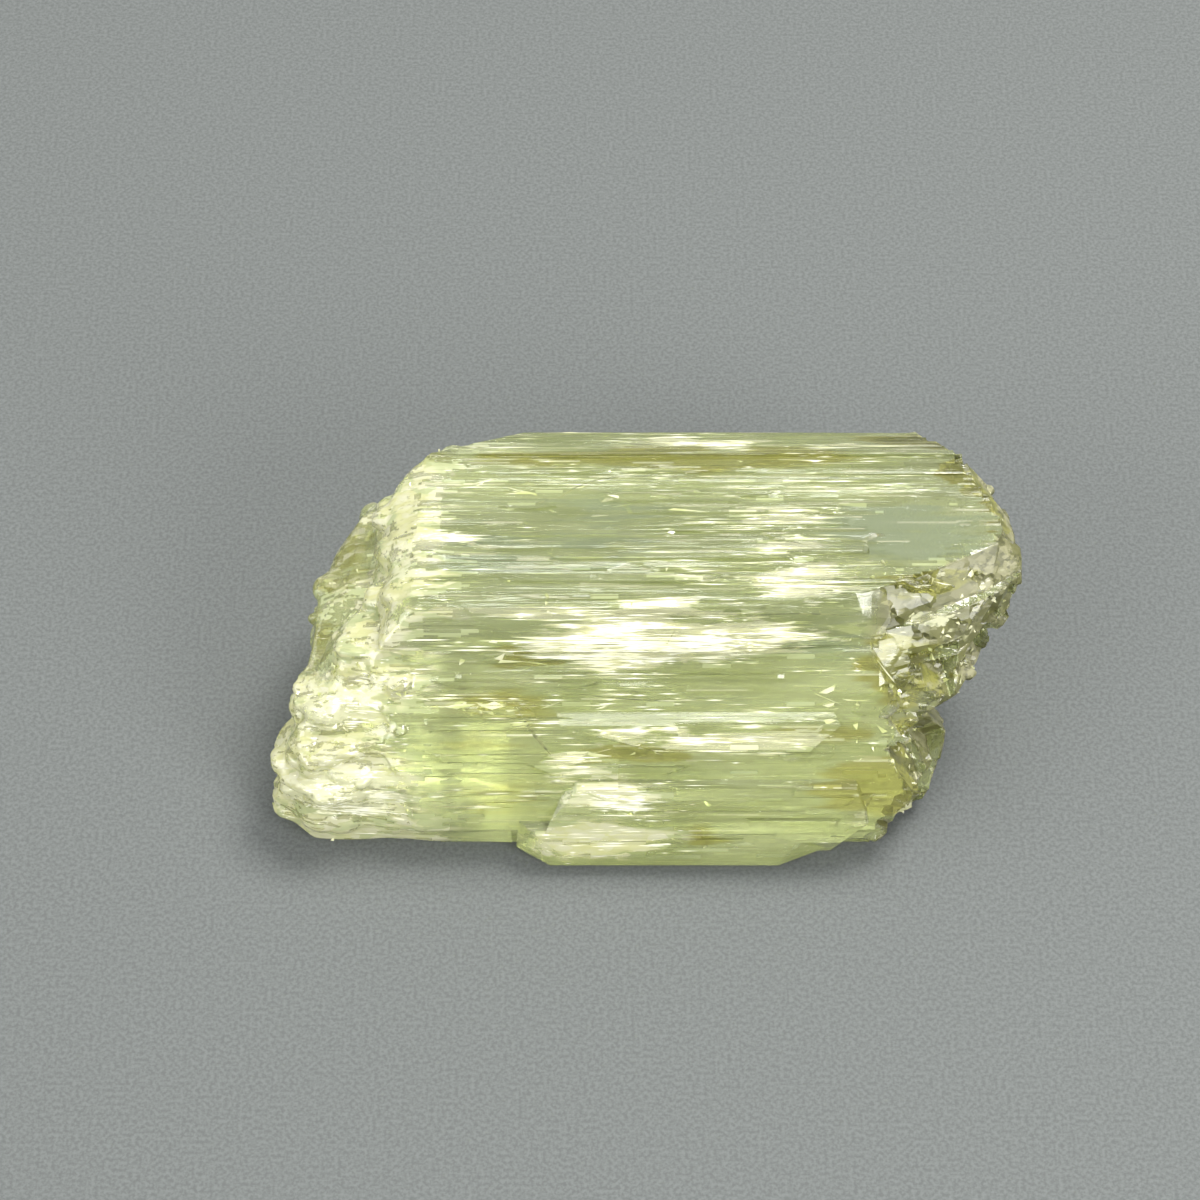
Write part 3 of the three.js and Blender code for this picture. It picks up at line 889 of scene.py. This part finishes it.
def streaky_finish(name, settings, pattern, dark, light, roughening=0.0):
    """A material streaked from dark to light, and rougher where it is light."""
    mat, tree, shader = new_finish(name, settings)
    tone = streaks(tree, *pattern)
    tree.links.new(mixed_colour(tree, tone, dark, light), shader.inputs["Base Color"])
    if roughening:
        tree.links.new(math_node(tree, "MULTIPLY", tone, roughening), shader.inputs["Roughness"])
    return mat


def silk_finish():
    settings = {"IOR": SPODUMENE_IOR, "Transmission Weight": 0.2}
    return streaky_finish("silk_finish", settings, (0.3, 4, 0.35, 0.65, 70),
                          (0.98, 0.97, 0.66), (1.0, 1.0, 0.86), roughening=0.25)


def flake_finish():
    settings = {"IOR": SPODUMENE_IOR, "Transmission Weight": 0.4}
    return streaky_finish("flake_finish", settings, (0.8, 2, 0.4, 0.6, 55),
                          (0.66, 0.70, 0.30), (0.96, 0.95, 0.66), roughening=0.2)


def crack_finish():
    settings = {"IOR": SPODUMENE_IOR, "Roughness": 0.9}
    return streaky_finish("crack_finish", settings, (0.3, 2, 0.4, 0.6, 66),
                          (0.07, 0.08, 0.03), (0.20, 0.21, 0.08))


def floor_finish():
    return streaky_finish("floor_finish", {"Roughness": 0.9}, (0.14, 1.0, 0.3, 0.7, 90),
                          (0.093, 0.100, 0.099), (0.131, 0.141, 0.139))


def crystal_patterns(tree):
    """Every pattern and layer that the crystal's colour, roughness and bump are mixed from."""
    look = SimpleNamespace()
    look.blotch = streaks(tree, 1.3, 3.2, 0.3, 0.7, 9, ragged=0.8)
    look.broad = streaks(tree, 0.40, 20, 0.3, 0.7, 2)
    look.medium = streaks(tree, 0.16, 40, 0.34, 0.66, 14, detail=1.0)
    _, look.dash = rows(tree, 0.085, 1.5, 3)
    _, look.thin_dash = rows(tree, 0.05, 2.2, 5)
    look.wide_row, look.wide_dash = rows(tree, 0.24, 4.0, 8)
    look.domain_tone, look.domain_height, _ = breaks(tree, 0.85, 3.2, 4, 0.9)
    look.small_tone, look.small_height, look.lump = breaks(tree, 0.26, 2.2, 6, 0.12)
    for name in ("edge", "etched", "broken", "calm", "facing_up", "waxy", "olive", "white", "bluish"):
        setattr(look, name, layer(tree, name))
    smooth = math_node(tree, "MAXIMUM", look.calm, look.etched)
    look.busy = math_node(tree, "SUBTRACT", 1.0, math_node(tree, "MULTIPLY", smooth, 0.9), clamp=True)
    look.busy_dash = math_node(tree, "MULTIPLY", look.dash, look.busy)
    look.lively = math_node(tree, "MULTIPLY", look.busy, look.blotch)
    look.breakup = weighted(tree, (look.broad, 0.4), (look.wide_row, 0.3), (look.dash, 0.3))
    return look


def green_colour(tree, look):
    """Deep to pale green by how milky the crystal is, and bluish in its clearer places."""
    milky = weighted(tree, (look.blotch, 0.42), (look.domain_tone, 0.30), (look.wide_dash, 0.14),
                     (look.broad, 0.14), (look.busy_dash, 0.16), (look.etched, 0.4))
    green = mixed_colour(tree, milky, DEEP_GREEN, PALE_GREEN)
    return mixed_colour(tree, torn(tree, look.bluish, look.broad, 0.3, 0.8), green, PALE_BLUE)


def with_broken_faces(tree, look, colour):
    """The right end's chipped faces: painted lighter where they face up, as if lit from above, and painted
    darker between, with a tone of their own for each chip.
    """
    # Facing up adds painted light from above; the other terms vary the tone from chip to chip.
    tone_and_top_light = weighted(tree, (look.facing_up, 0.9), (look.domain_tone, 0.8), (look.small_tone, 0.3))
    chipped = mixed_colour(tree, spread_out(tree, tone_and_top_light, 0.70, 1.35), BROKEN_DARK_AND_SHADED, BROKEN_PALE_AND_LIT)
    return mixed_colour(tree, math_node(tree, "MULTIPLY", look.broken, 0.9), colour, chipped)


def with_olive(tree, look, colour):
    """Olive stains, deeper in their middles."""
    olive = weighted(tree, (look.olive, 1.0), (look.domain_tone, 0.3), (look.breakup, 0.4))
    colour = mixed_colour(tree, spread_out(tree, olive, 0.62, 1.0), colour, OLIVE_GREEN)
    return mixed_colour(tree, spread_out(tree, olive, 1.25, 1.9), colour, OLIVE_DEEP)


def waxy_mask(tree, look):
    """Where the surface is cloudy and waxy, in torn patches."""
    lumpy = weighted(tree, (look.breakup, 0.25), (look.domain_tone, 0.40), (look.small_tone, 0.35))
    return torn(tree, look.waxy, lumpy, 0.34, 0.60)


def wax_colour(tree, look):
    """A mosaic of cream and yellow-green pieces, with painted shade where they meet, in the crevices between
    lumps.
    """
    mosaic = weighted(tree, (look.small_tone, 0.45), (look.domain_tone, 0.25), (look.blotch, 0.25),
                      # The lump term darkens each piece towards its rim: painted shade in the crevices
                      # between lumps.
                      (look.lump, -0.35))
    return mixed_colour(tree, spread_out(tree, mosaic, 0.05, 0.65), WAX_GREEN_AND_SHADE, WAX)


def dark_line_mask(tree, look):
    """Short dark threads between the striations."""
    threads = spread_out(tree, weighted(tree, (look.thin_dash, 1.0), (look.lively, 0.10)), 0.93, 0.96)
    return math_node(tree, "MULTIPLY", threads, math_node(tree, "MULTIPLY", look.busy, 0.55))


def white_and_glint_mask(tree, look):
    """The torn white places, some of them painted highlights, and bright lines and threads everywhere but on
    the broken end: partly white striae, partly painted glints on the striations and a painted highlight along
    sharp edges.
    """
    breakup = weighted(tree, (look.wide_row, 0.35), (look.dash, 0.45), (look.domain_tone, 0.35))
    white = torn(tree, look.white, breakup, 0.45, 0.58)
    # The edge term paints a highlight along sharp edges; the dashes are partly painted glints on the
    # striations.
    lines = weighted(tree, (look.dash, 1.0), (look.lively, 0.22), (look.edge, 0.15))
    lines = spread_out(tree, lines, 1.02, 1.06)
    threads = math_node(tree, "SUBTRACT", 1.0, spread_out(tree, look.thin_dash, 0.009, 0.014))
    whole = math_node(tree, "SUBTRACT", 1.0, look.broken)
    lines = math_node(tree, "MULTIPLY", math_node(tree, "MAXIMUM", lines, threads), whole)
    return math_node(tree, "MAXIMUM", white, lines)


def crystal_bump(tree, look, lumpy_face):
    """Striations and tilted breaks, lumps where a lumpy face is etched, and little of either where calm."""
    height = weighted(tree, (look.medium, 0.35), (look.busy_dash, 0.3), (look.domain_height, 2.4))
    height = mixed_value(tree, look.broken, height, weighted(tree, (look.domain_height, 5.0)))
    if lumpy_face:
        lumps = weighted(tree, (look.lump, -0.8), (look.small_height, 1.2), (look.domain_height, 1.2))
        height = mixed_value(tree, look.etched, height, lumps)
    quiet = math_node(tree, "SUBTRACT", 1.0, math_node(tree, "MULTIPLY", look.calm, 0.75), clamp=True)
    bump = tree.nodes.new("ShaderNodeBump")
    bump.inputs["Strength"].default_value = 1.0
    bump.inputs["Distance"].default_value = BUMP_DEPTH
    tree.links.new(math_node(tree, "MULTIPLY", height, quiet), bump.inputs["Height"])
    return bump.outputs["Normal"]


def add_absorption(tree):
    """Let thick crystal look deeper green than thin."""
    absorb = tree.nodes.new("ShaderNodeVolumeAbsorption")
    absorb.inputs["Color"].default_value = (*SEEN_THROUGH, 1)
    absorb.inputs["Density"].default_value = ABSORPTION
    tree.links.new(absorb.outputs["Volume"], tree.nodes["Material Output"].inputs["Volume"])


def spodumene(name, see_through, dullness, lumpy_face=False):
    """One of the crystal's finishes: they differ in how clear, how dull and how lumpy they are."""
    mat, tree, shader = new_finish(name, {"IOR": SPODUMENE_IOR, "Transmission Weight": see_through})
    look = crystal_patterns(tree)
    waxy = waxy_mask(tree, look)
    bright = white_and_glint_mask(tree, look)
    colour = green_colour(tree, look)
    colour = with_broken_faces(tree, look, colour)
    colour = with_olive(tree, look, colour)
    colour = mixed_colour(tree, waxy, colour, wax_colour(tree, look))
    colour = mixed_colour(tree, dark_line_mask(tree, look), colour, THREAD)
    # Painted highlights and glints are mixed into the colour here, with the white patches and striae.
    tree.links.new(mixed_colour(tree, bright, colour, SILK_AND_GLINT), shader.inputs["Base Color"])
    rough = weighted(tree, (bright, 0.12), (waxy, 0.04), (look.broad, 0.06), (look.broken, 0.22))
    tree.links.new(math_node(tree, "ADD", rough, dullness), shader.inputs["Roughness"])
    tree.links.new(crystal_bump(tree, look, lumpy_face), shader.inputs["Normal"])
    add_absorption(tree)
    return mat


# ---------- stage, light and camera ----------

def lay_floor():
    bpy.ops.mesh.primitive_plane_add(size=2, location=(0, 0, -FLOOR_GAP))
    floor = bpy.context.object
    floor.name = "floor"
    floor.data.materials.append(floor_finish())
    floor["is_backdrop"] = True


def area_light(name, place, width, height, power, colour):
    """A softbox that faces the crystal, its width level."""
    data = bpy.data.lights.new(name, "AREA")
    data.shape = "RECTANGLE"
    data.size = width
    data.size_y = height
    data.energy = power
    data.color = colour
    light = bpy.data.objects.new(name, data)
    light.location = place
    light.rotation_euler = (-Vector(place)).to_track_quat("-Z", "Y").to_euler()
    bpy.context.scene.collection.objects.link(light)


def set_lights():
    world = bpy.data.worlds.new("studio")
    world.use_nodes = True
    background = world.node_tree.nodes["Background"]
    background.inputs["Color"].default_value = (*ROOM_LIGHT, 1)
    background.inputs["Strength"].default_value = ROOM_STRENGTH
    bpy.context.scene.world = world
    for light in LIGHTS:
        area_light(*light)


def set_camera():
    aim = Vector(CAMERA_AIM) * MM
    away = Vector((0, -math.cos(CAMERA_ELEVATION), math.sin(CAMERA_ELEVATION)))
    data = bpy.data.cameras.new("camera")
    data.lens = CAMERA_LENS
    data.sensor_width = CAMERA_SENSOR
    data.clip_start = CAMERA_NEAREST
    camera = bpy.data.objects.new("camera", data)
    camera.location = aim + away * CAMERA_DISTANCE
    camera.rotation_euler = (-away).to_track_quat("-Z", "Y").to_euler()
    bpy.context.scene.collection.objects.link(camera)
    bpy.context.scene.camera = camera


set_camera()
crystal = crystal_body()
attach(crystal, "root")
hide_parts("crystal")
surface = surface_of(crystal)
fibres = silk_fibres(surface)
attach(fibres, "root")
flakes = cleavage_flakes(surface)
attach(flakes, "root")
cracks = hairline_cracks(surface)
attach(cracks, "root")
lay_floor()
set_lights()
bpy.context.scene.view_settings.view_transform = "Standard"
